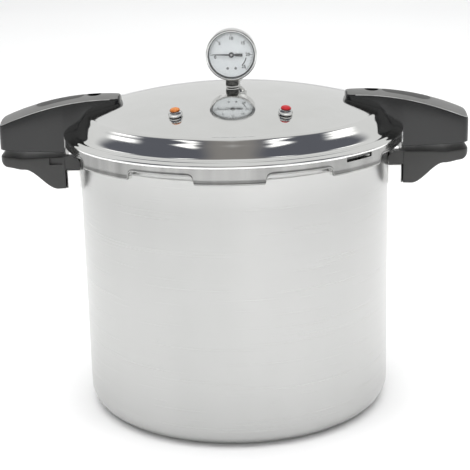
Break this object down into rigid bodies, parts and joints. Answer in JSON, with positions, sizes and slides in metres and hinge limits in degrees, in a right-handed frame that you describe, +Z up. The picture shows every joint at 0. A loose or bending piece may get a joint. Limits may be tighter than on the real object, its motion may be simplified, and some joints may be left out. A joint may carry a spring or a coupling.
{
  "type": "pressure canner",
  "caption": "Tall aluminium pressure canner with a bayonet lid, dial gauge, weight regulator, safety plug and paired side handles.",
  "frame": {"origin": "on the pot's axis, in the plane of its base", "axes": "+Z up along the pot's axis, +X towards the right handles, -Y towards the side that the gauge faces"},
  "size_m": [0.4708, 0.3438, 0.3868],
  "materials": {
    "pot_aluminium": "satin, fine horizontal grain",
    "lid_aluminium": "polished",
    "bracket_aluminium": "satin",
    "rack_aluminium": "mill",
    "lid_handle_plastic": "glossy",
    "body_handle_plastic": "satin",
    "inlay_plastic": "fine texture",
    "chrome": "polished",
    "steel": "plated",
    "gauge_steel": "dark plated",
    "brass": "machined",
    "rubber": "matte",
    "glass": "clear",
    "dial_enamel": "matte print",
    "pointer_black": "matte",
    "amber_silicone": "translucent",
    "red_silicone": "translucent"
  },
  "bodies": {
    "pot": {"pot_body": "pot_aluminium", "body_handle_right": "body_handle_plastic", "body_handle_left": "body_handle_plastic", "handle_bracket_right": "bracket_aluminium", "handle_bracket_left": "bracket_aluminium", "body_handle_screw_right": "steel", "body_handle_screw_left": "steel", "body_handle_washer_right": "steel", "body_handle_washer_left": "steel"},
    "rack": {"canning_rack": "rack_aluminium"},
    "gasket": {"sealing_gasket": "rubber"},
    "lid": {"lid_shell": "lid_aluminium", "lid_handle_right": "lid_handle_plastic", "lid_handle_left": "lid_handle_plastic", "handle_inlay_right": "inlay_plastic", "handle_inlay_left": "inlay_plastic", "lid_handle_screw_right": "steel", "lid_handle_screw_left": "steel", "lid_handle_nut_right": "steel", "lid_handle_nut_left": "steel", "gauge_case": "chrome", "gauge_bezel": "chrome", "gauge_lens": "glass", "gauge_dial": "dial_enamel", "movement_front_plate": "brass", "movement_back_plate": "brass", "bourdon_tube": "brass", "bourdon_link": "brass", "gauge_socket": "gauge_steel", "gauge_washer": "chrome", "gauge_nut": "steel", "vent_pipe": "chrome", "vent_pipe_nut": "steel", "plug_collar": "chrome", "overpressure_plug": "amber_silicone", "indicator_collar": "chrome", "indicator_seal": "rubber"},
    "pointer": {"gauge_pointer": "pointer_black", "pointer_pinion": "brass"},
    "sector": {"sector_gear": "brass"},
    "regulator": {"regulator_weight": "chrome", "regulator_cap": "lid_handle_plastic"},
    "indicator": {"indicator_pin": "red_silicone"}
  },
  "joints": [
    {"name": "rack_lift", "type": "slide", "parent": "pot", "child": "rack", "axis": [0, 0, 1], "range_m": [0, 0.24]},
    {"name": "lid_lift", "type": "slide", "parent": "pot", "child": "gasket", "axis": [0, 0, 1], "range_m": [0, 0.12]},
    {"name": "lid_turn", "type": "hinge", "parent": "gasket", "child": "lid", "pos_m": [0, 0, 0.28], "axis": [0, 0, 1], "range_deg": [0, 22.5]},
    {"name": "pointer_turn", "type": "hinge", "parent": "lid", "child": "pointer", "pos_m": [0, -0.012, 0.3613], "axis": [0, 1, 0], "range_deg": [0, 225]},
    {"name": "sector_turn", "type": "hinge", "parent": "lid", "child": "sector", "pos_m": [-0.01032, -0.007, 0.35407], "axis": [0, 1, 0], "range_deg": [-45, 0], "stiffness_Nm_per_rad": 0.002},
    {"name": "regulator_lift", "type": "slide", "parent": "lid", "child": "regulator", "axis": [0, 0, 1], "range_m": [0, 0.02]},
    {"name": "indicator_rise", "type": "slide", "parent": "lid", "child": "indicator", "axis": [0.0999, -0.1778, 0.979], "range_m": [0, 0.0053]}
  ],
  "couplings": [
    {"joint": "pointer_turn", "follows": "sector_turn", "ratio": -5}
  ]
}
